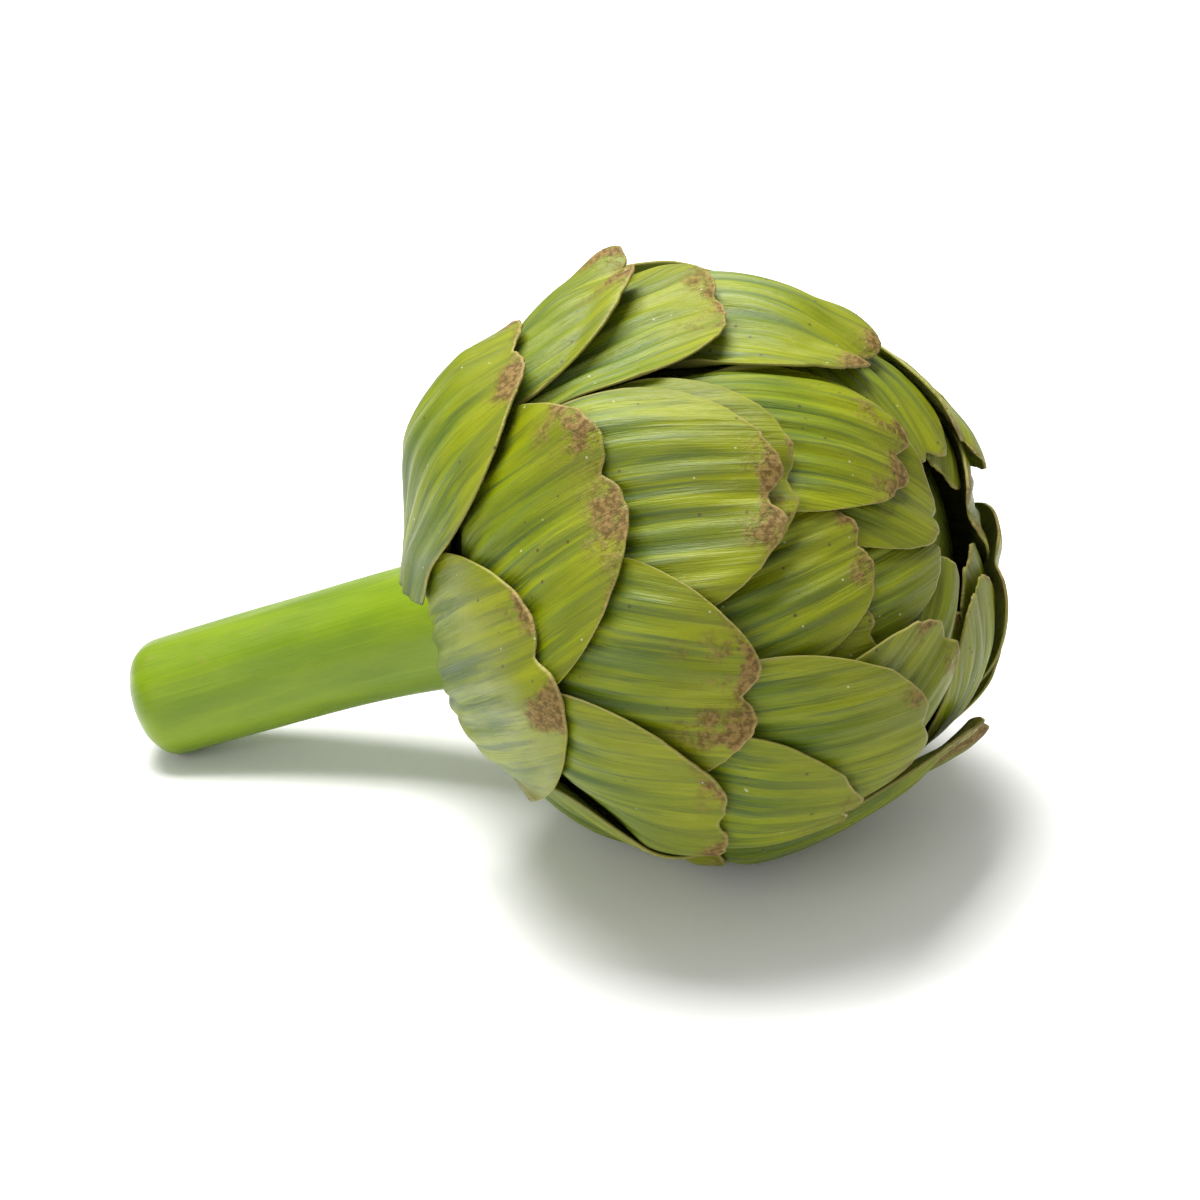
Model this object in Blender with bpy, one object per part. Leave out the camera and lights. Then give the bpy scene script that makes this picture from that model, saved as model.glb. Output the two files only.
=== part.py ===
"""A globe artichoke as cut, lying on its side on a flat surface.

Metres, +Z up.  The origin is the small flat spot that the head rests on.  The head's long axis
rises from the stem at -X towards the tips at +X.  Each bract is a thin shell that lies over the
bracts grown before it, so the head is stacked from the inside out.
"""

import math

import bpy
import numpy as np

MM = 0.001

# ---- driving dimensions, in millimetres and degrees -------------------------------------------
AXIS_TILT = 19.0  # how far the head's axis rises from the table
HEAD_CENTRE = (-3.1, 4.0, 45.7)  # from the middle of the flat spot that the head rests on
CORE_RADIUS = 39.0  # the packed inside of the head, across its axis
CORE_TOP = 42.0  # from its centre to its top
CORE_BASE = 38.5  # and to its base
CORE_SAG = 2.8  # how far the packed inside lies below the centre that the bracts lean round
CORE_SHIFT = 1.5  # and how far towards +Y, because the bracts lie thickest on the -Y side
SWELL = 7.0  # how far the upper shoulder beside the stem stands out further
SWELL_PLACE = (338, 116)  # its turn round the axis and angle from the top
SWELL_SPREAD = 0.15
REACH = 47.0  # radius at which a bract's length and width are measured
BRACT_GAP = 0.45  # air between one bract and the next
EDGE_THICKNESS = 0.8
MIDDLE_THICKNESS = 1.4
NOTCH_DEPTH = 2.6  # the cleft in a bract's tip
NOTCH_WIDTH = 0.10  # as a share of the half width
SHOULDER = 0.50  # where along a bract its sides turn in towards the tip
WIDEST = 0.58  # where along a bract it is widest
BASE_WIDTH = 0.55  # width at the base as a share of the full width
STEM_RADIUS = 9.8
STEM_END = (-96.6, -9.5, 9.6)  # centre of the stem's cut end
HEART_SPLIT = -4.0  # along the axis, where the heart ends and the inner bud begins
BUD_DEPTH = 6.0  # how far the bud's tip stays below the packed inside's
PART_GAP = 0.3

# ---- the bracts, from the outermost to the innermost ------------------------------------------
# turn: round the axis, 0 up and 270 towards -Y; tip: angle of the tip from the head's top;
# base: the same for the attached end; heading: how far the bract leans from the straight line
# to the base; half width and lift of the tip in millimetres.
#            turn   tip  base heading width lift
BRACTS = {
    "outer_bract_1": (342, 97, 152, 24, 23, 1.0),
    "outer_bract_2": (281, 87, 157, 13, 21, 0.2),
    "outer_bract_3": (216, 86, 156, -16, 21, 0.0),
    "outer_bract_4": (188, 98, 156, -6, 21, 0.4),
    "outer_bract_5": (130, 98, 154, 6, 20, 0.2),
    "outer_bract_6": (66, 98, 158, 4, 20, 1.0),
    "outer_bract_7": (336, 108, 156, 14, 21, 0.0),
    "outer_bract_8": (311, 73, 138, 22, 23, 0.2),
    "outer_bract_9": (240, 71, 132, -24, 20, 0.2),
    "outer_bract_10": (8, 86, 140, 38, 18, 1.0),
    "outer_bract_11": (168, 78, 142, -12, 20, 0.4),
    "outer_bract_12": (94, 82, 142, 0, 20, 1.2),
    "outer_bract_13": (40, 82, 156, 24, 19, 1.4),
    "middle_bract_1": (6, 67, 116, 42, 19, 1.0),
    "middle_bract_2": (262, 57, 116, -26, 18, 0.4),
    "middle_bract_3": (220, 57, 110, -46, 17, 0.2),
    "middle_bract_4": (62, 66, 126, 14, 18, 1.0),
    "middle_bract_5": (126, 64, 126, -8, 19, 1.0),
    "middle_bract_6": (304, 44, 108, 1, 19, 0.4),
    "middle_bract_7": (174, 42, 104, -44, 16, 1.6),
    "middle_bract_8": (222, 36, 100, -44, 17, 0.6),
    "middle_bract_9": (21, 36, 102, 22, 17, 0.0),
    "middle_bract_10": (92, 46, 114, 6, 18, 1.4),
    "middle_bract_11": (136, 46, 114, -6, 17, 1.0),
    "middle_bract_12": (38, 50, 112, 18, 18, 0.8),
    "middle_bract_13": (310, 41, 102, 4, 19, 0.4),
    "inner_bract_1": (350, 16, 86, 30, 16, 0.0),
    "inner_bract_2": (290, 27, 92, 14, 15, 0.4),
    "inner_bract_3": (72, 22, 96, 8, 16, 0.4),
    "inner_bract_4": (130, 21, 96, 0, 16, 0.4),
    "inner_bract_5": (225, 20, 90, -12, 14, 0.6),
    "inner_bract_6": (256, 32, 94, -20, 14, 0.4),
    "inner_bract_7": (323, 7, 84, 0, 15, 0.0),
    "inner_bract_8": (275, 10, 84, 0, 13, 0.0),
    "inner_bract_9": (30, 13, 86, 10, 14, 0.4),
    "inner_bract_10": (170, 14, 86, 0, 13, 0.2),
    "inner_bract_11": (100, 14, 86, 0, 14, 0.2),
    "inner_bract_12": (235, 9, 82, 0, 13, 0.0),
    "inner_bract_13": (200, 16, 86, -8, 14, 0.4),
    "inner_bract_14": (60, 12, 80, 0, 14, 0.0),
    "inner_bract_15": (150, 12, 80, 0, 14, 0.0),
}

# ---- the head's own axes ----------------------------------------------------------------------
TILT = math.radians(AXIS_TILT)
CENTRE = np.array(HEAD_CENTRE)
ALONG = np.array([math.cos(TILT), 0.0, math.sin(TILT)])  # from the stem to the top
UPWARD = np.array([-math.sin(TILT), 0.0, math.cos(TILT)])  # across the axis, upwards
SIDEWAYS = np.array([0.0, 1.0, 0.0])
CORE_OFFSET = CORE_SHIFT * SIDEWAYS - CORE_SAG * UPWARD

COLUMNS = np.array([-1.0, -0.74, -0.38, 0.0, 0.38, 0.74, 1.0])
ROWS = np.linspace(0.0, 1.0, 9)
FINE = 6  # samples of what lies beneath to each step of the grid
SWEEPS = 12
SMOOTHING = 2


def steps_between(knots):
    """Places between the knots, FINE to each step, and how much each knot counts at each place."""
    place = np.arange(0, len(knots) - 1 + 1e-9, 1 / FINE)
    share = np.clip(1 - np.abs(place[:, None] - np.arange(len(knots))), 0, 1)
    return share @ knots, share


FINE_COLUMNS, COLUMN_SHARE = steps_between(COLUMNS)
FINE_ROWS, ROW_SHARE = steps_between(ROWS)
SHARE = np.einsum("ai,bj->abij", COLUMN_SHARE, ROW_SHARE)  # of each grid point at each place


def direction(turn, angle):
    """Unit vector at a turn round the axis and an angle from the top, both in degrees."""
    turn, angle = math.radians(turn), math.radians(angle)
    across = math.cos(turn) * UPWARD + math.sin(turn) * SIDEWAYS
    return math.cos(angle) * ALONG + math.sin(angle) * across


def egg_radius(angle):
    """Distance from the middle of the packed inside to its skin, at an angle from the top."""
    length = np.where(np.cos(angle) > 0, CORE_TOP, CORE_BASE)
    return 1 / np.hypot(np.sin(angle) / CORE_RADIUS, np.cos(angle) / length)


def core_radius(d):
    """Distance from the head's centre to that skin in directions d, with the swollen shoulder."""
    swell = SWELL * np.exp((d @ direction(*SWELL_PLACE) - 1) / SWELL_SPREAD)
    return egg_radius(np.arccos(np.clip(d @ ALONG, -1, 1))) + d @ CORE_OFFSET + swell


class Bract:
    """A bract's outline on the head: columns s from side to side, rows v from base to tip."""

    def __init__(self, turn, tip, base, heading, half_width, lift):
        self.tip = direction(turn, tip)
        downward = direction(turn, tip + 90)
        sideways = np.cross(self.tip, downward)
        lean = math.radians(heading)
        self.down = math.cos(lean) * downward + math.sin(lean) * sideways
        self.side = np.cross(self.tip, self.down)
        self.length = math.radians(base - tip) * REACH
        self.half_width = half_width
        self.lift = lift

    def width_at(self, share):
        """Half width at a share of the length: narrow at the base, full past the middle."""
        rising = BASE_WIDTH + (1 - BASE_WIDTH) * np.sin(math.pi / 2 * np.clip(share / WIDEST, 0, 1))
        past = np.clip((share - WIDEST) / (1 - WIDEST), 0, 1)
        return self.half_width * (rising - 0.10 * past**2)

    def end_at(self, s):
        """How far up the bract reaches in column s: a round tip with a cleft in its middle."""
        crown = np.sqrt(np.clip(1 - np.abs(s) ** 2.1, 0, 1))
        cleft = NOTCH_DEPTH * np.exp(-((s / NOTCH_WIDTH) ** 2))
        return self.length * (SHOULDER + (1 - SHOULDER) * crown) - cleft

    def directions(self, s, v):
        """Unit vectors from the head's centre for each s and v."""
        up = v * self.end_at(s)
        across = s * self.width_at(up / self.length) / REACH
        back = (self.length - up) / REACH
        middle = np.cos(back)[..., None] * self.tip + np.sin(back)[..., None] * self.down
        return np.cos(across)[..., None] * middle + np.sin(across)[..., None] * self.side

    def locate(self, d):
        """The s and v of directions d: the inverse of directions()."""
        across = np.arcsin(np.clip(d @ self.side, -1, 1)) * REACH
        up = self.length - np.arctan2(d @ self.down, d @ self.tip) * REACH
        s = across / self.width_at(np.clip(up / self.length, 0, 1))
        return s, up / self.end_at(np.clip(s, -1, 1))

    def thickness(self, s, v):
        """Fleshy along the middle and the base, thin towards the sides and the tip."""
        flesh = np.clip(1 - s**2, 0, 1) * (1 - 0.6 * v**2)
        return EDGE_THICKNESS + (MIDDLE_THICKNESS - EDGE_THICKNESS) * flesh

    def top_over(self, d):
        """Height of the outer face over directions d, and minus infinity beside the bract."""
        s, v = self.locate(d)
        covered = (np.abs(s) <= 1.07) & (v >= -0.04) & (v <= 1.04)
        s, v = np.clip(s, -1, 1), np.clip(v, 0, 1)
        i = np.clip(np.searchsorted(COLUMNS, s) - 1, 0, len(COLUMNS) - 2)
        j = np.clip(np.searchsorted(ROWS, v) - 1, 0, len(ROWS) - 2)
        a = (s - COLUMNS[i]) / (COLUMNS[i + 1] - COLUMNS[i])
        b = (v - ROWS[j]) / (ROWS[j + 1] - ROWS[j])
        low = self.outer[i, j] * (1 - a) + self.outer[i + 1, j] * a
        high = self.outer[i, j + 1] * (1 - a) + self.outer[i + 1, j + 1] * a
        return np.where(covered, low * (1 - b) + high * b, -np.inf)

    def flatness(self):
        """How far a flat facet of the grid sinks below the curve that it stands for."""
        across = np.diff(COLUMNS)[0] * self.half_width
        up = self.length / (len(ROWS) - 1)
        sag_across = (COLUMN_SHARE * (1 - COLUMN_SHARE)).sum(axis=1) * across**2
        sag_up = (ROW_SHARE * (1 - ROW_SHARE)).sum(axis=1) * up**2
        return (sag_across[:, None] + sag_up) / (4 * REACH)

    def lay_over(self, placed):
        """Sets the inner and outer heights so that the bract clears everything placed so far.

        Each grid point starts on the packed inside.  Wherever the facets between the points would
        come too near what lies beneath, the points around that place are raised.
        """
        s, v = np.meshgrid(FINE_COLUMNS, FINE_ROWS, indexing="ij")
        d = self.directions(s, v)
        beneath = core_radius(d)
        for other in placed:
            beneath = np.maximum(beneath, other.top_over(d))
        needed = beneath + BRACT_GAP + self.flatness()
        height = needed[::FINE, ::FINE].copy()
        for _ in range(SMOOTHING + 1):
            wide = np.pad(height, 1, mode="edge")
            blurred = (wide[:-2, 1:-1] + wide[2:, 1:-1] + wide[1:-1, :-2] + wide[1:-1, 2:]) / 4
            height = np.maximum(height, blurred)
            for _ in range(SWEEPS):
                short = needed - np.einsum("abij,ij->ab", SHARE, height)
                pull = short[..., None, None] * SHARE / (SHARE**2).sum(axis=(2, 3), keepdims=True)
                height = height + np.clip(pull.max(axis=(0, 1)), 0, None)
        short = needed - np.einsum("abij,ij->ab", SHARE, height)
        height = height + max(0.0, short.max())
        s, v = np.meshgrid(COLUMNS, ROWS, indexing="ij")
        self.inner = height + self.lift * v**4
        self.outer = self.inner + self.thickness(s, v)
        self.points = CENTRE + self.directions(s, v) * self.inner[..., None]


# ---- Blender objects --------------------------------------------------------------------------
def clear_scene():
    for old in list(bpy.data.objects):
        bpy.data.objects.remove(old)


def plain_material(name, colour, roughness):
    material = bpy.data.materials.new(name)
    material.use_nodes = True
    shader = material.node_tree.nodes["Principled BSDF"]
    shader.inputs["Base Color"].default_value = (*colour, 1.0)
    shader.inputs["Roughness"].default_value = roughness
    shader.inputs["Metallic"].default_value = 0.0
    return material


def add_object(name, data, material):
    made = bpy.data.objects.new(name, data)
    data.materials.append(material)
    bpy.context.scene.collection.objects.link(made)
    return made


def bract_object(name, bract, material):
    """The bract's inner face as a grid, thickened outwards with a Solidify modifier."""
    columns, rows = bract.inner.shape
    index = np.arange(columns * rows).reshape(columns, rows)
    corners = (index[:-1, :-1], index[1:, :-1], index[1:, 1:], index[:-1, 1:])
    faces = np.stack([c.ravel() for c in corners], axis=1)
    mesh = bpy.data.meshes.new(name)
    mesh.from_pydata((bract.points.reshape(-1, 3) * MM).tolist(), [], faces.tolist())
    mesh.shade_smooth()
    made = add_object(name, mesh, material)
    weights = made.vertex_groups.new(name="flesh")
    share = (bract.outer - bract.inner) / MIDDLE_THICKNESS
    for i, weight in enumerate(share.ravel()):
        weights.add([i], float(weight), "REPLACE")
    thicken = made.modifiers.new("thickness", "SOLIDIFY")
    thicken.thickness = MIDDLE_THICKNESS * MM
    thicken.offset = 1.0
    thicken.vertex_group = weights.name
    return made


def rest_on_table(made, table):
    """Presses the small flat spot into a bract that would reach below the table."""
    flatten = made.modifiers.new("flat_spot", "BOOLEAN")
    flatten.operation = "DIFFERENCE"
    flatten.solver = "EXACT"
    flatten.object = table


def table_cutter():
    side = 60 * MM
    corners = [(x, y, z) for x in (-side, side) for y in (-side, side) for z in (-side, 0.0)]
    faces = [(0, 1, 3, 2), (4, 6, 7, 5), (0, 4, 5, 1), (2, 3, 7, 6), (0, 2, 6, 4), (1, 5, 7, 3)]
    mesh = bpy.data.meshes.new("table_cutter")
    mesh.from_pydata(corners, [], faces)
    table = bpy.data.objects.new("table_cutter", mesh)
    bpy.context.scene.collection.objects.link(table)
    table.hide_render = True
    table.display_type = "WIRE"
    return table


def tube(name, points, radii, material):
    """A round bar through points in millimetres, of a given radius at each point."""
    curve = bpy.data.curves.new(name, "CURVE")
    curve.dimensions = "3D"
    curve.bevel_depth = MM
    curve.bevel_resolution = 6
    curve.use_fill_caps = True
    spline = curve.splines.new("POLY")
    spline.points.add(len(points) - 1)
    for point, place, radius in zip(spline.points, points, radii):
        point.co = (*(np.asarray(place) * MM), 1.0)
        point.radius = radius
    return add_object(name, curve, material)


def core_section(first_angle, last_angle, steps, inset):
    """Points on the axis and radii of the packed inside between two angles from the top."""
    angles = np.radians(np.linspace(first_angle, last_angle, steps))
    radius = egg_radius(angles) - inset
    middle = CENTRE + CORE_OFFSET
    points = [middle + ALONG * r * math.cos(a) for r, a in zip(radius, angles)]
    return points, [r * math.sin(a) for r, a in zip(radius, angles)]


def stem_and_heart(material):
    """The stalk with its round cut end, widening into the heart that carries the bracts."""
    split = math.degrees(math.acos(HEART_SPLIT / CORE_RADIUS))
    heart, heart_radii = core_section(split, 160, 9, PART_GAP)
    start = np.array(heart[-1])
    end = np.array(STEM_END)
    pull = 0.36 * np.linalg.norm(end - start)
    leaving = start - ALONG * pull
    arriving = end + pull * (leaving - end) / np.linalg.norm(leaving - end)
    points, radii = list(heart), list(heart_radii)
    for t in np.linspace(0, 1, 13)[1:]:
        points.append(
            (1 - t) ** 3 * start + 3 * (1 - t) ** 2 * t * leaving
            + 3 * (1 - t) * t**2 * arriving + t**3 * end
        )
        radii.append(STEM_RADIUS + (heart_radii[-1] - STEM_RADIUS) * math.exp(-5.5 * t))
    tail = points[-1] - points[-2]
    tail /= np.linalg.norm(tail)
    bulge = 0.62 * STEM_RADIUS
    for share in (0.35, 0.62, 0.84, 0.96):
        points.append(end + tail * bulge * share)
        radii.append(STEM_RADIUS * (1 - share**2.4) ** (1 / 2.4))
    return tube("stem_and_heart", points, radii, material)


def inner_bud(material):
    """The youngest bracts, still closed in one tight bud on top of the heart."""
    split = math.degrees(math.acos((HEART_SPLIT + PART_GAP) / CORE_RADIUS))
    points, radii = core_section(split, 6, 12, PART_GAP)
    for i, point in enumerate(points):
        height = max(0.0, float((point - CENTRE) @ ALONG)) / CORE_TOP
        points[i] = point - ALONG * BUD_DEPTH * height**3
    return tube("inner_bud", points, radii, material)


def main():
    clear_scene()
    leaf_green = plain_material("bract_green", (0.30, 0.40, 0.05), 0.45)
    stem_green = plain_material("stem_green", (0.28, 0.45, 0.02), 0.35)
    pale_green = plain_material("bud_green", (0.35, 0.42, 0.10), 0.50)
    table = table_cutter()
    placed = []
    for name, sizes in reversed(BRACTS.items()):
        bract = Bract(*sizes)
        bract.lay_over(placed)
        placed.append(bract)
        made = bract_object(name, bract, leaf_green)
        if reaches_table(bract):
            rest_on_table(made, table)
    stem_and_heart(stem_green)
    inner_bud(pale_green)


def reaches_table(bract):
    """Whether any of the bract's outer face lies below the table's surface."""
    s, v = np.meshgrid(COLUMNS, ROWS, indexing="ij")
    outer = CENTRE + bract.directions(s, v) * bract.outer[..., None]
    return bool(outer[..., 2].min() < 0.05)


main()
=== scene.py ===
"""A globe artichoke as cut, lying on its side: a stem and heart, overlapping bracts, a closed bud."""

import math

import bpy
import numpy as np
from mathutils import Matrix


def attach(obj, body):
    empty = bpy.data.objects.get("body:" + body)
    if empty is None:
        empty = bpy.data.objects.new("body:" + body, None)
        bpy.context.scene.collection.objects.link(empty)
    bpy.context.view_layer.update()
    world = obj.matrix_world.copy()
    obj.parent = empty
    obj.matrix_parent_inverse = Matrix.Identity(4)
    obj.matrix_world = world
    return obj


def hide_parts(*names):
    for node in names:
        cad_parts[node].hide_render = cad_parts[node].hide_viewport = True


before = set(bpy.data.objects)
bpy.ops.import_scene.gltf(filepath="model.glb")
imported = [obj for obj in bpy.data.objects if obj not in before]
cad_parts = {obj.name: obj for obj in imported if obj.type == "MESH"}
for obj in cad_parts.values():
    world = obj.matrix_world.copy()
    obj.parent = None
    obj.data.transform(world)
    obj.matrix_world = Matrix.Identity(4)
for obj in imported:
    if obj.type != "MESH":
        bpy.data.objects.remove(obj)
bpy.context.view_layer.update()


# ---- the bracts -------------------------------------------------------------------------------
# Each bract is a leathery leaf scale attached to the heart at its base.  It is ribbed lengthwise,
# fleshy along the middle and thin at the margin, and its round tip is cleft into two brown lobes.

# Turn, tip angle, base angle, heading, half width, tip lift, then how brown the tip is, how far
# its lobes curl out, and how bloomed it is, from the outermost bract to the innermost.
BRACTS = {
    "outer_bract_1": (342, 97, 152, 24, 23, 1.0, 0.7, 0.3, 0.4),
    "outer_bract_2": (281, 87, 157, 13, 21, 0.2, 0.7, 0.2, 0.3),
    "outer_bract_3": (216, 86, 156, -16, 21, 0.0, 0.3, 0.2, 0.2),
    "outer_bract_4": (188, 98, 156, -6, 21, 0.4, 0.5, 0.0, 0.3),
    "outer_bract_5": (130, 98, 154, 6, 20, 0.2, 0.5, 0.3, 0.4),
    "outer_bract_6": (66, 98, 158, 4, 20, 1.0, 0.5, 0.6, 0.5),
    "outer_bract_7": (336, 108, 156, 14, 21, 0.0, 0.3, 0.0, 0.4),
    "outer_bract_8": (311, 73, 138, 22, 23, 0.2, 0.8, 0.3, 0.4),
    "outer_bract_9": (240, 71, 132, -24, 20, 0.2, 0.5, 0.2, 0.2),
    "outer_bract_10": (8, 86, 140, 38, 18, 1.0, 0.6, 2.4, 0.4),
    "outer_bract_11": (168, 78, 142, -12, 20, 0.4, 0.4, 0.3, 0.3),
    "outer_bract_12": (94, 82, 142, 0, 20, 1.2, 0.5, 0.5, 0.5),
    "outer_bract_13": (40, 82, 156, 24, 19, 1.4, 0.4, 1.0, 0.4),
    "middle_bract_1": (6, 67, 116, 42, 19, 1.0, 0.4, 0.6, 0.6),
    "middle_bract_2": (262, 57, 116, -26, 18, 0.4, 1.0, 0.3, 0.3),
    "middle_bract_3": (220, 57, 110, -46, 17, 0.2, 0.4, 0.2, 0.2),
    "middle_bract_4": (62, 66, 126, 14, 18, 1.0, 0.5, 0.8, 0.5),
    "middle_bract_5": (126, 64, 126, -8, 19, 1.0, 0.4, 0.6, 0.4),
    "middle_bract_6": (304, 44, 108, 1, 19, 0.4, 0.9, 1.0, 0.9),
    "middle_bract_7": (174, 42, 104, -44, 16, 1.6, 1.1, 2.4, 0.3),
    "middle_bract_8": (222, 36, 100, -44, 17, 0.6, 0.4, 0.6, 0.2),
    "middle_bract_9": (21, 36, 102, 22, 17, 0.0, 0.6, 2.2, 1.4),
    "middle_bract_10": (92, 46, 114, 6, 18, 1.4, 0.5, 0.8, 0.5),
    "middle_bract_11": (136, 46, 114, -6, 17, 1.0, 0.4, 0.6, 0.4),
    "middle_bract_12": (38, 50, 112, 18, 18, 0.8, 0.5, 0.8, 0.6),
    "middle_bract_13": (310, 41, 102, 4, 19, 0.4, 0.4, 1.2, 0.5),
    "inner_bract_1": (350, 16, 86, 30, 16, 0.0, 0.9, 0.2, 0.4),
    "inner_bract_2": (290, 27, 92, 14, 15, 0.4, 0.5, 0.3, 0.2),
    "inner_bract_3": (72, 22, 96, 8, 16, 0.4, 0.5, 0.8, 0.5),
    "inner_bract_4": (130, 21, 96, 0, 16, 0.4, 0.5, 0.8, 0.4),
    "inner_bract_5": (225, 20, 90, -12, 14, 0.6, 0.5, 0.6, 0.2),
    "inner_bract_6": (256, 32, 94, -20, 14, 0.4, 0.3, 0.2, 0.2),
    "inner_bract_7": (323, 3, 84, 0, 15, 0.0, 0.3, 0.1, 0.3),
    "inner_bract_8": (275, 6, 84, 0, 13, 0.0, 0.2, 0.2, 0.2),
    "inner_bract_9": (30, 13, 86, 10, 14, 0.4, 0.4, 0.3, 0.4),
    "inner_bract_10": (170, 14, 86, 0, 13, 0.2, 0.4, 0.3, 0.2),
    "inner_bract_11": (100, 14, 86, 0, 14, 0.2, 0.4, 0.5, 0.3),
    "inner_bract_12": (235, 5, 82, 0, 13, 0.0, 0.2, 0.1, 0.2),
    "inner_bract_13": (200, 16, 86, -8, 14, 0.4, 0.3, 0.3, 0.2),
    "inner_bract_14": (60, 12, 80, 0, 14, 0.0, 0.2, 0.2, 0.2),
    "inner_bract_15": (150, 12, 80, 0, 14, 0.0, 0.2, 0.2, 0.2),
}

# The head lies with its stem end low.  Turns go round its axis, 0 up and 270 towards -Y, and
# angles are measured from the top of the head.  Lengths are in millimetres up to the floor, and
# in metres from there on.
MM = 0.001
HEAD_CENTRE = np.array([-3.1, 4.0, 45.7])
TILT = math.radians(19.0)
ALONG = np.array([math.cos(TILT), 0.0, math.sin(TILT)])
UPWARD = np.array([-math.sin(TILT), 0.0, math.cos(TILT)])
SIDEWAYS = np.array([0.0, 1.0, 0.0])

CORE_RADIUS = 39.0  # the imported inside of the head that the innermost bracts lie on
CORE_TOP = 42.0
CORE_BASE = 38.5
CORE_OFFSET = 1.5 * SIDEWAYS - 2.8 * UPWARD
SWELL = 6.6  # how far the upper shoulder beside the stem stands out further
SWELL_SPREAD = 0.15
REACH = 47.0  # radius at which a bract's length and width are measured
BRACT_GAP = 0.55
NOTCH_DEPTH = 3.0
NOTCH_WIDTH = 0.13
SHOULDER = 0.50
WIDEST = 0.58
BASE_WIDTH = 0.55
RIBS = 9
MARGIN_THICKNESS = 0.45
FLESH = 1.9
MIDRIB = 0.45
RIB_HEIGHT = 0.60
CREASE_DEPTH = 0.35
CREASE_WIDTH = 0.05
SETTLING = 26  # rounds in which a bract relaxes over what lies beneath it
SETTLING_CELLS = 3
SMOOTHING = 6  # rounds that then take off the steps left by the bracts beneath
PRESSED_OUTER = 0.02  # heights above the table to which the lowest bracts are pressed flat
PRESSED_INNER = 0.25
BASE_ROWS = 0.02  # share of the length at the base where the sides have no dry margin
NO_MARGIN = 9.0
TIP_BAND = 1.6

# Columns and rows lie closer together towards the sides and the tip, for a finer margin.
even = np.linspace(-1, 1, 61)
COLUMNS = np.sin(math.pi / 2 * even * (0.62 + 0.38 * even**2))
ROWS = 1 - (1 - np.linspace(0, 1, 65)) ** 1.15


def direction(turn, angle):
    """Unit vector: the axis tilted by the angle towards a spoke at the turn, both in degrees."""
    turn, angle = math.radians(turn), math.radians(angle)
    across = math.cos(turn) * UPWARD + math.sin(turn) * SIDEWAYS
    return math.cos(angle) * ALONG + math.sin(angle) * across


SWELL_TOWARDS = direction(338, 116)


def smooth_step(low, high, x):
    """Rises from 0 at low to 1 at high along 3t^2 - 2t^3."""
    t = np.clip((x - low) / (high - low), 0, 1)
    return t * t * (3 - 2 * t)


def ripple(x, y, seed, count=5):
    """Soft unevenness of about +-1: a sum of sine waves of random direction and phase."""
    rng = np.random.default_rng(seed)
    total = np.zeros(np.broadcast(x, y).shape)
    for _ in range(count):
        a, b, phase = rng.normal(), rng.normal(), rng.uniform(0, 2 * math.pi)
        total = total + np.sin(a * x + b * y + phase)
    return total / math.sqrt(count)


def egg_radius(angle):
    """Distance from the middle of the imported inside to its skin: an ellipse, longer at the top."""
    length = np.where(np.cos(angle) > 0, CORE_TOP, CORE_BASE)
    return 1 / np.hypot(np.sin(angle) / CORE_RADIUS, np.cos(angle) / length)


def mean_around(height, cells):
    """Mean of the four heights this many cells away, with the edges carried on outwards."""
    wide = np.pad(height, cells, mode="edge")
    middle, low, high = slice(cells, -cells), slice(None, -2 * cells), slice(2 * cells, None)
    return (wide[low, middle] + wide[high, middle] + wide[middle, low] + wide[middle, high]) / 4


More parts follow.
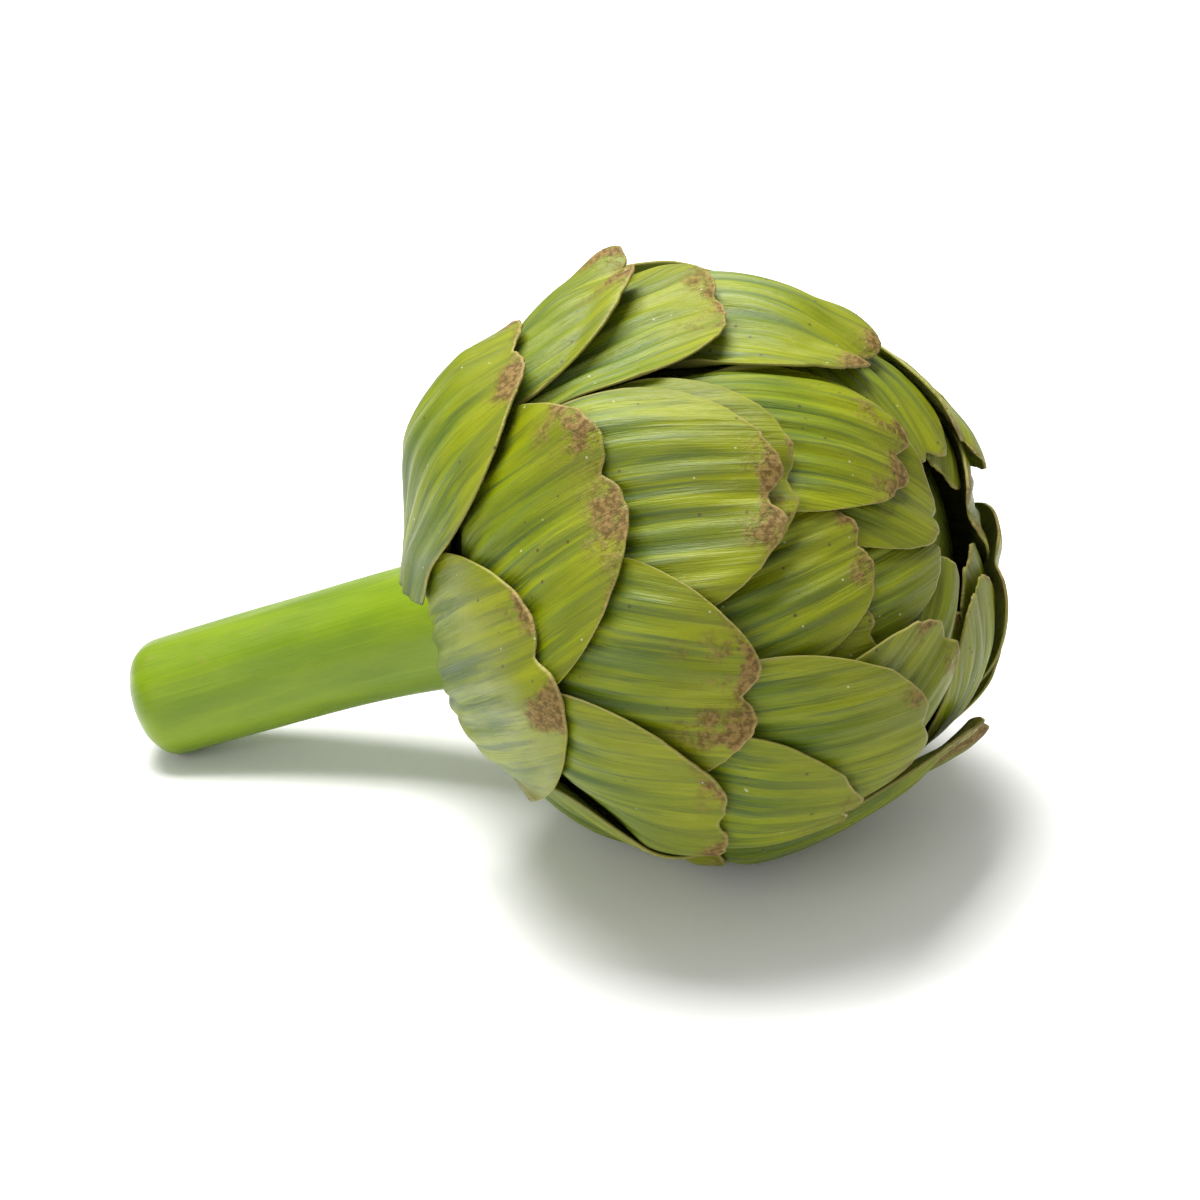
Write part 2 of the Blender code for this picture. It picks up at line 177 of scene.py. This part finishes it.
class Bract:
    """A bract laid out on the head: columns s from side to side, rows v from base to tip."""

    def __init__(self, number, turn, tip, base, heading, half_width, lift, brown, curl, bloom):
        self.number = number
        self.tip = direction(turn, tip)
        downward = direction(turn, tip + 90)
        sideways = np.cross(self.tip, downward)
        lean = math.radians(heading)
        self.down = math.cos(lean) * downward + math.sin(lean) * sideways
        self.side = np.cross(self.tip, self.down)
        self.length = math.radians(base - tip) * REACH
        self.half_width = half_width
        self.lift = lift
        self.brown = brown
        self.curl = curl
        self.bloom = bloom
        # A browner tip has dried more and is cleft more deeply.
        self.cleft = NOTCH_DEPTH * (0.35 + 0.65 * min(1.0, brown + 0.1))

    def width_at(self, share):
        """Half width: a quarter sine wave up to the widest place, then slightly less."""
        rising = BASE_WIDTH + (1 - BASE_WIDTH) * np.sin(math.pi / 2 * np.clip(share / WIDEST, 0, 1))
        past = np.clip((share - WIDEST) / (1 - WIDEST), 0, 1)
        return self.half_width * (rising - 0.10 * past**2)

    def end_at(self, s):
        """Reach in column s: a rounded crown less a bell-shaped cleft, with a frayed margin."""
        crown = np.sqrt(np.clip(1 - np.abs(s) ** 2.1, 0, 1))
        cleft = self.cleft * np.exp(-((np.abs(s) / NOTCH_WIDTH) ** 1.5))
        fine = 0.22 * ripple(34 * s, 0, self.number + 50, 7)
        frayed = fine + 0.5 * ripple(7 * s, 0, self.number + 90)
        margin = frayed * (1 - np.abs(s) ** 6)
        return self.length * (SHOULDER + (1 - SHOULDER) * crown) - cleft + margin

    def directions(self, s, v):
        """Unit vectors: up the midrib from the base by arc, then across it by arc."""
        up = v * self.end_at(s)
        across = s * self.width_at(up / self.length) / REACH
        back = (self.length - up) / REACH
        middle = np.cos(back)[..., None] * self.tip + np.sin(back)[..., None] * self.down
        return np.cos(across)[..., None] * middle + np.sin(across)[..., None] * self.side

    def locate(self, d):
        """The s and v of directions d: the inverse of directions()."""
        across = np.arcsin(np.clip(d @ self.side, -1, 1)) * REACH
        up = self.length - np.arctan2(d @ self.down, d @ self.tip) * REACH
        s = across / self.width_at(np.clip(up / self.length, 0, 1))
        return s, up / self.end_at(np.clip(s, -1, 1))

    def top_over(self, d):
        """Height of the outer face over directions d, and minus infinity beside the bract."""
        s, v = self.locate(d)
        covered = (np.abs(s) <= 1.03) & (v >= -0.03) & (v <= 1.03)
        s, v = np.clip(s, -1, 1), np.clip(v, 0, 1)
        i = np.clip(np.searchsorted(COLUMNS, s) - 1, 0, len(COLUMNS) - 2)
        j = np.clip(np.searchsorted(ROWS, v) - 1, 0, len(ROWS) - 2)
        a = (s - COLUMNS[i]) / (COLUMNS[i + 1] - COLUMNS[i])
        b = (v - ROWS[j]) / (ROWS[j + 1] - ROWS[j])
        low = self.outer[i, j] * (1 - a) + self.outer[i + 1, j] * a
        high = self.outer[i, j + 1] * (1 - a) + self.outer[i + 1, j + 1] * a
        return np.where(covered, low * (1 - b) + high * b, -np.inf)

    def lay_over(self, placed):
        """Heights: a blurred blanket held above everything beneath, then the leaf's own relief."""
        s, v = np.meshgrid(COLUMNS, ROWS, indexing="ij")
        d = self.directions(s, v)
        beneath = egg_radius(np.arccos(np.clip(d @ ALONG, -1, 1))) + d @ CORE_OFFSET
        beneath = beneath + SWELL * np.exp((d @ SWELL_TOWARDS - 1) / SWELL_SPREAD)
        for other in placed:
            beneath = np.maximum(beneath, other.top_over(d))
        needed = beneath + BRACT_GAP
        height = needed
        for _ in range(SETTLING):
            height = np.maximum(needed, (height + mean_around(height, SETTLING_CELLS)) / 2)
        for _ in range(SMOOTHING):
            height = mean_around(height, 1)
        lobes = smooth_step(0.80, 1.0, v) * smooth_step(0.02, 0.30, np.abs(s)) * (1 - np.abs(s) ** 3)
        waves = 0.25 * (1 + ripple(3.0 * s, 5.0 * v, self.number)) * smooth_step(0.2, 0.7, v)
        self.inner = height + self.lift * v**4 + self.curl * lobes + waves
        self.outer = self.inner + self.thickness(s, v)
        self.s, self.v, self.d = s, v, d

    def thickness(self, s, v):
        """Flesh that thins to the margin and the tip, with rounded ribs and a crease in the tip."""
        flesh = (1 - np.abs(s) ** 3) * (1 - v) ** 0.7
        middle = (1 - s**2) * smooth_step(1.0, 0.7, v)
        ribs = np.abs(np.cos(math.pi * RIBS / 2 * s)) ** 1.5 * (1 - s**4) * smooth_step(1.0, 0.75, v)
        crease = np.exp(-((s / CREASE_WIDTH) ** 2)) * smooth_step(0.60, 0.95, v)
        body = MARGIN_THICKNESS + FLESH * flesh + MIDRIB * middle
        return body + RIB_HEIGHT * ribs - CREASE_DEPTH * crease


def shell_faces(columns, rows):
    """Quads of an outer grid, of an inner one wound the other way, and of the rim between them."""
    index = np.arange(columns * rows).reshape(columns, rows)
    corners = (index[:-1, :-1], index[1:, :-1], index[1:, 1:], index[:-1, 1:])
    outside = np.stack([c.ravel() for c in corners], axis=1)
    inside = outside[:, ::-1] + columns * rows
    margin = np.concatenate([index[:-1, 0], index[-1, :-1], index[:0:-1, -1], index[0, :0:-1]])
    onward = np.roll(margin, -1)
    rim = np.stack([onward, margin, margin + columns * rows, onward + columns * rows], axis=1)
    return np.concatenate([outside, inside, rim])


def browning(bract, to_tip):
    """How burnt each point is: a bell-shaped spot on each lobe, and a narrow band along the tip."""
    rng = np.random.default_rng(bract.number + 7)
    burn = np.zeros(bract.s.shape)
    for sign in (-1, 1):
        at = sign * rng.uniform(0.20, 0.36)
        spread = rng.uniform(0.16, 0.30)
        reach = rng.uniform(4.0, 9.5)
        spot = np.exp(-(((bract.s - at) / spread) ** 2) - (to_tip / reach) ** 1.5)
        burn = np.maximum(burn, spot * rng.uniform(0.9, 1.5))
    return (burn + 0.25 * np.exp(-((to_tip / TIP_BAND) ** 2))) * bract.brown


def write_values(mesh, values):
    """Stores a number for each point under each name, which the materials read."""
    for key, value in values.items():
        layer = mesh.attributes.new(key, "FLOAT", "POINT")
        layer.data.foreach_set("value", value.astype(np.float32))


def place_in_scene(name, content):
    """An object for a mesh, a light or a camera."""
    placed_object = bpy.data.objects.new(name, content)
    bpy.context.scene.collection.objects.link(placed_object)
    return placed_object


def bract_shell(name, bract):
    """The outer and the inner face at their heights over the head's centre, pressed to the table."""
    outer = HEAD_CENTRE + bract.d * bract.outer[..., None]
    inner = HEAD_CENTRE + bract.d * bract.inner[..., None]
    outer[..., 2] = np.maximum(outer[..., 2], PRESSED_OUTER)
    inner[..., 2] = np.maximum(inner[..., 2], PRESSED_INNER)
    points = np.concatenate([outer.reshape(-1, 3), inner.reshape(-1, 3)])
    mesh = bpy.data.meshes.new(name)
    mesh.from_pydata((points * MM).tolist(), [], shell_faces(*bract.s.shape).tolist())
    mesh.shade_smooth()
    mesh.materials.append(bract_skin)
    up = bract.v * bract.end_at(bract.s)
    to_side = (1 - np.abs(bract.s)) * bract.width_at(up / bract.length)
    to_tip = (1 - bract.v) * bract.end_at(bract.s)
    margin = np.minimum(np.where(bract.v > BASE_ROWS, to_side, NO_MARGIN), to_tip)
    values = {
        "across": np.tile(bract.s.ravel(), 2),
        "upward": np.tile(bract.v.ravel(), 2),
        "margin": np.tile(margin.ravel(), 2),
        "burn": np.tile(browning(bract, to_tip).ravel(), 2),
        "bloom": np.full(len(points), bract.bloom),
        "number": np.full(len(points), bract.number * 3.7),
        "inside": np.repeat([0.0, 1.0], bract.s.size),
    }
    write_values(mesh, values)
    return place_in_scene(name, mesh)


class Finish:
    """A material's node tree, with short calls that add one node and return its output."""

    def __init__(self, name, roughness):
        self.material = bpy.data.materials.new(name)
        self.material.use_nodes = True
        self.nodes = self.material.node_tree.nodes
        self.links = self.material.node_tree.links
        self.shader = self.nodes["Principled BSDF"]
        self.shader.inputs["Roughness"].default_value = roughness

    def wire(self, value, socket):
        """Links an output to the socket, or sets a plain value on it."""
        if isinstance(value, bpy.types.NodeSocket):
            self.links.new(value, socket)
        elif value is not None:
            socket.default_value = value

    def maths(self, operation, a, b=None, c=None, clamp=False):
        """A Math node's result."""
        node = self.nodes.new("ShaderNodeMath")
        node.operation = operation
        node.use_clamp = clamp
        for value, socket in zip((a, b, c), node.inputs):
            self.wire(value, socket)
        return node.outputs[0]

    def times(self, a, b):
        """a times b."""
        return self.maths("MULTIPLY", a, b)

    def scaled(self, value, factor, extra):
        """The value times the factor, plus the extra."""
        return self.maths("MULTIPLY_ADD", value, factor, extra)

    def attribute(self, name):
        """The number stored under this name at each point."""
        node = self.nodes.new("ShaderNodeAttribute")
        node.attribute_name = name
        return node.outputs["Fac"]

    def object_place(self):
        """The point's own place in the object."""
        return self.nodes.new("ShaderNodeTexCoord").outputs["Object"]

    def joined(self, x, y, z):
        """Three numbers as one vector."""
        node = self.nodes.new("ShaderNodeCombineXYZ")
        for value, socket in zip((x, y, z), node.inputs):
            self.wire(value, socket)
        return node.outputs[0]

    def stretched(self, vector, scale):
        """The vector scaled along each axis."""
        node = self.nodes.new("ShaderNodeMapping")
        node.inputs["Scale"].default_value = scale
        self.links.new(vector, node.inputs["Vector"])
        return node.outputs[0]

    def noise(self, vector, scale, detail=4.0, roughness=0.55):
        """Soft noise from 0 to 1."""
        node = self.nodes.new("ShaderNodeTexNoise")
        node.inputs["Scale"].default_value = scale
        node.inputs["Detail"].default_value = detail
        node.inputs["Roughness"].default_value = roughness
        self.links.new(vector, node.inputs["Vector"])
        return node.outputs["Fac"]

    def cells(self, vector, scale):
        """Scattered points: the distance to the nearest one, and its random colour."""
        node = self.nodes.new("ShaderNodeTexVoronoi")
        node.inputs["Scale"].default_value = scale
        self.links.new(vector, node.inputs["Vector"])
        return node.outputs["Distance"], node.outputs["Color"]

    def step(self, value, low, high):
        """Rises smoothly from 0 at low to 1 at high, or falls where low is above high."""
        node = self.nodes.new("ShaderNodeMapRange")
        node.interpolation_type = "SMOOTHSTEP"
        self.wire(value, node.inputs["Value"])
        node.inputs["From Min"].default_value = low
        node.inputs["From Max"].default_value = high
        return node.outputs["Result"]

    def mix(self, share, a, b):
        """Colour a, with this share of colour b."""
        node = self.nodes.new("ShaderNodeMix")
        node.data_type = "RGBA"
        self.wire(share, node.inputs["Factor"])
        for value, socket in zip((a, b), (node.inputs["A"], node.inputs["B"])):
            self.wire((*value, 1.0) if isinstance(value, tuple) else value, socket)
        return node.outputs["Result"]

    def relief(self, height, distance):
        """Bump on the shader, as deep as the distance in metres."""
        node = self.nodes.new("ShaderNodeBump")
        node.inputs["Distance"].default_value = distance
        self.links.new(height, node.inputs["Height"])
        self.links.new(node.outputs["Normal"], self.shader.inputs["Normal"])


def make_bract_skin():
    """Olive green with darker lengthwise streaks, pale bloom, brown lobes and a dry, thin rim. The
    streaks turn darker in the grooves between the ribs as painted shade, and the bloom is palest on
    the rib crests as painted highlight.
    """
    skin = Finish("bract_skin", 0.42)
    skin.shader.inputs["Specular IOR Level"].default_value = 0.24
    across = skin.attribute("across")
    upward = skin.attribute("upward")
    number = skin.attribute("number")
    margin = skin.attribute("margin")
    burn = skin.attribute("burn")
    bloomed = skin.attribute("bloom")
    inside = skin.attribute("inside")
    blade = skin.joined(across, upward, number)
    place = skin.object_place()
    broad = skin.noise(skin.stretched(blade, (2.6, 1.1, 1.0)), 1.6, 3.0)
    streak = skin.noise(skin.stretched(blade, (11.0, 1.2, 1.0)), 1.5, 5.0, 0.6)
    hair = skin.noise(skin.stretched(blade, (60.0, 2.2, 1.0)), 1.5, 4.0, 0.6)
    # The rib wave paints light and shade into the colour. It is 1 on each rib crest and 0 in the
    # grooves between the ribs.
    wave = skin.maths("COSINE", skin.times(across, math.pi * RIBS))
    rib_shading = skin.scaled(wave, 0.5, 0.5)
    green = skin.mix(skin.step(broad, 0.32, 0.68), (0.072, 0.116, 0.001), (0.190, 0.226, 0.001))
    # The darker lengthwise streaks are real pigment, pushed a little further into the grooves between
    # the ribs as painted shade.
    streak_and_groove_shade = skin.step(skin.scaled(rib_shading, -0.07, streak), 0.42, 0.60)
    green = skin.mix(skin.times(streak_and_groove_shade, 0.85), green, (0.030, 0.068, 0.008))
    fine = skin.times(skin.step(hair, 0.45, 0.70), 0.18)
    green = skin.mix(fine, green, (0.24, 0.27, 0.006))
    yellow = skin.times(skin.step(upward, 0.55, 1.0), 0.45)
    green = skin.mix(yellow, green, (0.215, 0.215, 0.003))
    # The pale bloom is real, but it is weighted towards the rib crests as painted highlight.
    bloom_and_crest_highlight = skin.times(skin.step(streak, 0.42, 0.62), skin.scaled(rib_shading, 0.7, 0.3))
    bloom_and_crest_highlight = skin.times(bloom_and_crest_highlight, skin.step(upward, 0.95, 0.25))
    bloom_and_crest_highlight = skin.times(skin.times(bloom_and_crest_highlight, bloomed), 0.50)
    green = skin.mix(bloom_and_crest_highlight, green, (0.40, 0.46, 0.20))
    green = skin.mix(skin.times(inside, 0.55), green, (0.30, 0.33, 0.08))
    patchy = skin.noise(place, 170.0, 5.0, 0.68)
    speckle = skin.noise(place, 1100.0, 2.0, 0.6)
    scorch = skin.times(burn, skin.scaled(patchy, 4.6, -1.5))
    scorched = skin.step(scorch, 0.14, 0.62)
    brown = skin.mix(skin.step(speckle, 0.40, 0.62), (0.085, 0.038, 0.010), (0.210, 0.120, 0.040))
    green = skin.mix(skin.times(scorched, 0.86), green, brown)
    dry = skin.maths("MULTIPLY_ADD", patchy, 1.6, -0.15, clamp=True)
    rim = skin.times(skin.step(margin, 0.60, 0.10), dry)
    green = skin.mix(skin.times(rim, 0.70), green, (0.36, 0.29, 0.10))
    distance, chance = skin.cells(place, 620.0)
    chosen = skin.nodes.new("ShaderNodeSeparateColor")
    skin.wire(chance, chosen.inputs[0])
    dark_chosen = skin.maths("GREATER_THAN", chosen.outputs[0], 0.94)
    dark_dot = skin.times(skin.step(distance, 0.24, 0.12), dark_chosen)
    green = skin.mix(skin.times(dark_dot, 0.75), green, (0.06, 0.035, 0.015))
    dust_chosen = skin.maths("GREATER_THAN", chosen.outputs[1], 0.95)
    dust = skin.times(skin.step(distance, 0.16, 0.06), dust_chosen)
    green = skin.mix(skin.times(dust, 0.45), green, (0.66, 0.68, 0.52))
    skin.wire(green, skin.shader.inputs["Base Color"])
    rough = skin.scaled(scorched, 0.28, skin.scaled(patchy, 0.22, 0.30))
    skin.wire(rough, skin.shader.inputs["Roughness"])
    relief = skin.scaled(hair, 0.15, skin.times(streak, 1.2))
    relief = skin.scaled(speckle, 0.14, relief)
    relief = skin.scaled(skin.times(scorched, patchy), 0.8, relief)
    skin.relief(relief, 0.00035)
    return skin.material


bract_skin = make_bract_skin()
placed = []
for number, (name, sizes) in enumerate(reversed(BRACTS.items())):
    bract = Bract(number, *sizes)
    bract.lay_over(placed)
    placed.append(bract)
    blade = bract_shell(name + "_blade", bract)
    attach(blade, "root")
    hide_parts(name)


# ---- the stem and heart -----------------------------------------------------------------------
# The stalk is cut from the plant and its end has rounded and healed.  It widens into the heart,
# the fleshy base that every bract grows from.  Its skin is smooth, with faint lengthwise fibres.
STEM_RADIUS = 10.3
STEM_END = np.array([-96.9, -9.5, 10.5])
HEART_SPLIT = -4.0  # place along the axis where the bud takes over from the heart
HEART_END = 160  # angle in degrees from the top where the stem leaves the heart
PART_GAP = 0.3
STEM_SIDES = 128
STEM_PULL = 0.36  # share of the way over which the curve keeps each end's direction
FLARE = 5.5  # how fast the stem narrows below the heart
END_LENGTH = 0.62  # of the rounded end, in stem radii
END_POWER = 2.4
RIDGE_HEIGHT = 0.010  # both in shares of the radius
LUMP_HEIGHT = 0.012
STEM_LOWEST = 0.03


def heart_profile(first, last, count, inset):
    """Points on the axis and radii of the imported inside, between two angles from the top."""
    angles = np.radians(np.linspace(first, last, count))
    radius = egg_radius(angles) - inset
    middle = HEAD_CENTRE + CORE_OFFSET
    return middle + ALONG * (radius * np.cos(angles))[:, None], radius * np.sin(angles)


def swept(points, radii, around, relief):
    """Rings square to a path: radius times (1 + relief), where relief is by ring and turn."""
    ahead = np.gradient(points, axis=0)
    ahead /= np.linalg.norm(ahead, axis=1, keepdims=True)
    left = np.cross(ahead, [0.0, 0.0, 1.0])
    left /= np.linalg.norm(left, axis=1, keepdims=True)
    over = np.cross(left, ahead)
    turns = np.linspace(0, 2 * math.pi, around, endpoint=False)
    spokes = left[:, None] * np.cos(turns)[:, None] + over[:, None] * np.sin(turns)[:, None]
    return points[:, None] + spokes * (radii[:, None] * (1 + relief))[..., None]


def stem_shape():
    """The heart's profile, then a cubic curve to the cut end, closed by a rounded end."""
    split = math.degrees(math.acos(HEART_SPLIT / CORE_RADIUS))
    heart, heart_radii = heart_profile(split, HEART_END, 30, PART_GAP)
    start = heart[-1]
    pull = STEM_PULL * np.linalg.norm(STEM_END - start)
    leaving = start - ALONG * pull
    arriving = STEM_END + pull * (leaving - STEM_END) / np.linalg.norm(leaving - STEM_END)
    t = np.linspace(0, 1, 81)[1:, None]
    stalk = (1 - t) ** 3 * start + 3 * (1 - t) ** 2 * t * leaving
    stalk += 3 * (1 - t) * t**2 * arriving + t**3 * STEM_END
    stalk_radii = STEM_RADIUS + (heart_radii[-1] - STEM_RADIUS) * np.exp(-FLARE * t[:, 0])
    tail = stalk[-1] - stalk[-2]
    tail /= np.linalg.norm(tail)
    share = np.sin(np.linspace(0, math.pi / 2, 22))[1:-1]
    bulge = STEM_END + tail * (END_LENGTH * STEM_RADIUS * share)[:, None]
    bulge_radii = STEM_RADIUS * (1 - share**END_POWER) ** (1 / END_POWER)
    path = np.concatenate([heart, stalk, bulge])
    radii = np.concatenate([heart_radii, stalk_radii, bulge_radii])
    return path, radii, STEM_END + tail * END_LENGTH * STEM_RADIUS


def closed_skin(name, rings, first_pole, last_pole):
    """A closed skin: rings of points joined in quads, with a fan to a pole at each end."""
    count, around, _ = rings.shape
    index = np.arange(count * around).reshape(count, around)
    beside = np.roll(index, -1, axis=1)
    quads = np.stack([index[:-1], beside[:-1], beside[1:], index[1:]], axis=-1).reshape(-1, 4)
    first = np.full(around, count * around)
    start = np.stack([beside[0], index[0], first], axis=-1)
    end = np.stack([index[-1], beside[-1], first + 1], axis=-1)
    points = np.concatenate([rings.reshape(-1, 3), [first_pole], [last_pole]]) * MM
    mesh = bpy.data.meshes.new(name)
    mesh.from_pydata(points.tolist(), [], quads.tolist() + start.tolist() + end.tolist())
    mesh.shade_smooth()
    return place_in_scene(name, mesh)


def make_stem():
    """The swept skin, whose radius varies by low lengthwise ridges and by soft lumps."""
    path, radii, tip = stem_shape()
    turns = np.linspace(0, 2 * math.pi, STEM_SIDES, endpoint=False)
    down_stem = np.linspace(0, 1, len(path))[:, None]
    ridges = RIDGE_HEIGHT * np.sin(9 * turns + 2.0 * down_stem) * np.sin(2 * turns + 1.0)
    lumps = LUMP_HEIGHT * ripple(np.cos(turns) * 1.6 + 6 * down_stem, np.sin(turns) * 1.6, 3)
    bare = smooth_step(0.20, 0.30, down_stem)
    rings = swept(path, radii, STEM_SIDES, (ridges + lumps) * bare)
    rings[..., 2] = np.maximum(rings[..., 2], STEM_LOWEST)
    piece = closed_skin("stem_and_heart_skin", rings, path[0], tip)
    grid = rings.shape[:2]
    values = {
        "turn_cos": np.append(np.broadcast_to(np.cos(turns), grid), [0, 0]),
        "turn_sin": np.append(np.broadcast_to(np.sin(turns), grid), [0, 0]),
        "down_stem": np.append(np.broadcast_to(down_stem, grid), [0, 1]),
    }
    write_values(piece.data, values)
    return piece


def make_stem_skin():
    """Bright green, paler near the head, with faint darker fibres and a soft waxy gloss."""
    skin = Finish("stem_skin", 0.34)
    skin.shader.inputs["Specular IOR Level"].default_value = 0.30
    down = skin.attribute("down_stem")
    ring = skin.joined(skin.attribute("turn_cos"), skin.attribute("turn_sin"), down)
    place = skin.object_place()
    broad = skin.noise(skin.stretched(ring, (1.0, 1.0, 2.5)), 1.6, 3.0)
    fibre = skin.noise(skin.stretched(ring, (9.0, 9.0, 1.6)), 2.2, 5.0, 0.6)
    green = skin.mix(skin.step(broad, 0.3, 0.7), (0.105, 0.178, 0.001), (0.155, 0.235, 0.001))
    green = skin.mix(skin.times(skin.step(fibre, 0.50, 0.74), 0.25), green, (0.09, 0.16, 0.003))
    green = skin.mix(skin.times(skin.step(fibre, 0.46, 0.28), 0.15), green, (0.27, 0.35, 0.01))
    near_head = skin.times(skin.step(down, 0.48, 0.22), 0.45)
    green = skin.mix(near_head, green, (0.21, 0.30, 0.004))
    patchy = skin.noise(place, 180.0, 4.0, 0.6)
    worn = skin.times(skin.step(patchy, 0.60, 0.74), skin.step(fibre, 0.45, 0.62))
    green = skin.mix(skin.times(worn, 0.45), green, (0.24, 0.17, 0.04))
    end_dark = skin.times(skin.step(down, 0.86, 1.0), 0.35)
    green = skin.mix(end_dark, green, (0.11, 0.19, 0.008))
    skin.wire(green, skin.shader.inputs["Base Color"])
    skin.wire(skin.scaled(patchy, 0.20, 0.24), skin.shader.inputs["Roughness"])
    pores = skin.noise(place, 900.0, 2.0)
    skin.relief(skin.scaled(pores, 0.25, fibre), 0.00012)
    return skin.material


stem = make_stem()
stem.data.materials.append(make_stem_skin())
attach(stem, "root")
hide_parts("stem_and_heart")


# ---- the inner bud ----------------------------------------------------------------------------
# The youngest bracts are still closed in one tight bud on the heart, seen only in the opening at
# the top.  Their overlapping tips show as low scales that spiral round the axis.
BUD_DEPTH = 3.0
BUD_SIDES = 160
BUD_RINGS = 110
BUD_TOP = 3  # angle in degrees at which the rings end
BUD_POLE = 0.1
SCALE_DEPTH = 0.070  # share of the radius


def make_bud():
    """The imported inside's profile, sunk at the top, with scales stepped along a spiral."""
    split = math.degrees(math.acos((HEART_SPLIT + PART_GAP) / CORE_RADIUS))
    path, radii = heart_profile(split, BUD_TOP, BUD_RINGS, PART_GAP)
    height = np.maximum(0.0, (path - HEAD_CENTRE) @ ALONG) / CORE_TOP
    path = path - ALONG * (BUD_DEPTH * height**3)[:, None]
    turns = np.linspace(0, 2 * math.pi, BUD_SIDES, endpoint=False)
    angle = np.linspace(split, BUD_TOP, BUD_RINGS)[:, None]
    spiral = (angle - 8 * np.cos(5 * turns + angle * 0.21)) / 9.0
    step = (spiral - np.floor(spiral)) ** 3
    relief = -SCALE_DEPTH * step * smooth_step(60, 40, angle) * smooth_step(BUD_TOP, 8, angle)
    rings = swept(path, radii, BUD_SIDES, relief)
    return closed_skin("inner_bud_skin", rings, path[0], path[-1] + ALONG * BUD_POLE)


def make_bud_skin():
    """Yellow green, paler than the bracts, with fine streaks towards the closed tips."""
    skin = Finish("bud_skin", 0.5)
    place = skin.object_place()
    broad = skin.noise(place, 90.0, 4.0)
    fine = skin.noise(skin.stretched(place, (0.3, 1.0, 1.0)), 900.0, 4.0)
    green = skin.mix(skin.step(broad, 0.3, 0.7), (0.07, 0.11, 0.004), (0.19, 0.23, 0.010))
    green = skin.mix(skin.times(skin.step(fine, 0.5, 0.7), 0.4), green, (0.07, 0.11, 0.01))
    skin.wire(green, skin.shader.inputs["Base Color"])
    skin.relief(fine, 0.0003)
    return skin.material


bud = make_bud()
bud.data.materials.append(make_bud_skin())
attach(bud, "root")
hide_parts("inner_bud")


# ---- the floor, the light and the camera ------------------------------------------------------
# A wide pale floor under a broad soft light from above, with a weaker one from the front.
floor_mesh = bpy.data.meshes.new("floor")
corners = [(-3, -3, 0), (3, -3, 0), (3, 3, 0), (-3, 3, 0)]
floor_mesh.from_pydata(corners, [], [(0, 1, 2, 3)])
floor = place_in_scene("floor", floor_mesh)
floor_paint = Finish("floor_paint", 0.8)
floor_paint.shader.inputs["Base Color"].default_value = (0.92, 0.92, 0.91, 1.0)
floor_mesh.materials.append(floor_paint.material)

world = bpy.data.worlds.new("studio")
bpy.context.scene.world = world
world.use_nodes = True
sky = world.node_tree.nodes["Background"]
sky.inputs["Color"].default_value = (1.0, 1.0, 1.0, 1.0)
sky.inputs["Strength"].default_value = 0.50


def stand(thing, place, side, top, away):
    """Puts a lamp or a camera at the place, looking against away."""
    turn = Matrix(np.column_stack([side, top, away]).tolist())
    thing.matrix_world = Matrix.Translation(place) @ turn.to_4x4()


def soft_light(name, power, size, place, target):
    """A square area light that faces its target."""
    light = bpy.data.lights.new(name, "AREA")
    light.energy = power
    light.size = size
    away = np.array(place) - np.array(target)
    away = away / np.linalg.norm(away)
    side = np.cross([0.0, 1.0, 0.02], away)
    side /= np.linalg.norm(side)
    stand(place_in_scene(name, light), place, side, np.cross(away, side), away)


soft_light("overhead", 8.0, 0.40, (-0.16, 0.06, 0.62), (0.0, 0.0, 0.04))
soft_light("front", 2.0, 0.50, (-0.10, -0.80, 0.40), (0.0, 0.0, 0.04))

AZIMUTH = math.radians(26.0)
ELEVATION = math.radians(27.0)
ROLL = math.radians(2.3)
DISTANCE = 0.5333
LEFT_OF_HEAD = 0.0160  # how far beside and below the head's centre the camera aims
BELOW_HEAD = 0.0054
back = np.array([
    math.sin(AZIMUTH) * math.cos(ELEVATION),
    -math.cos(AZIMUTH) * math.cos(ELEVATION),
    math.sin(ELEVATION),
])
level = np.array([math.cos(AZIMUTH), math.sin(AZIMUTH), 0.0])
upright = np.cross(back, level)
right = math.cos(ROLL) * level - math.sin(ROLL) * upright
top = math.sin(ROLL) * level + math.cos(ROLL) * upright
eye = HEAD_CENTRE * MM + back * DISTANCE - right * LEFT_OF_HEAD - top * BELOW_HEAD
lens = bpy.data.cameras.new("camera")
lens.lens = 100.0
lens.sensor_width = 36.0
camera = place_in_scene("camera", lens)
stand(camera, eye.tolist(), right, top, back)
bpy.context.scene.camera = camera
bpy.context.scene.view_settings.view_transform = "Standard"
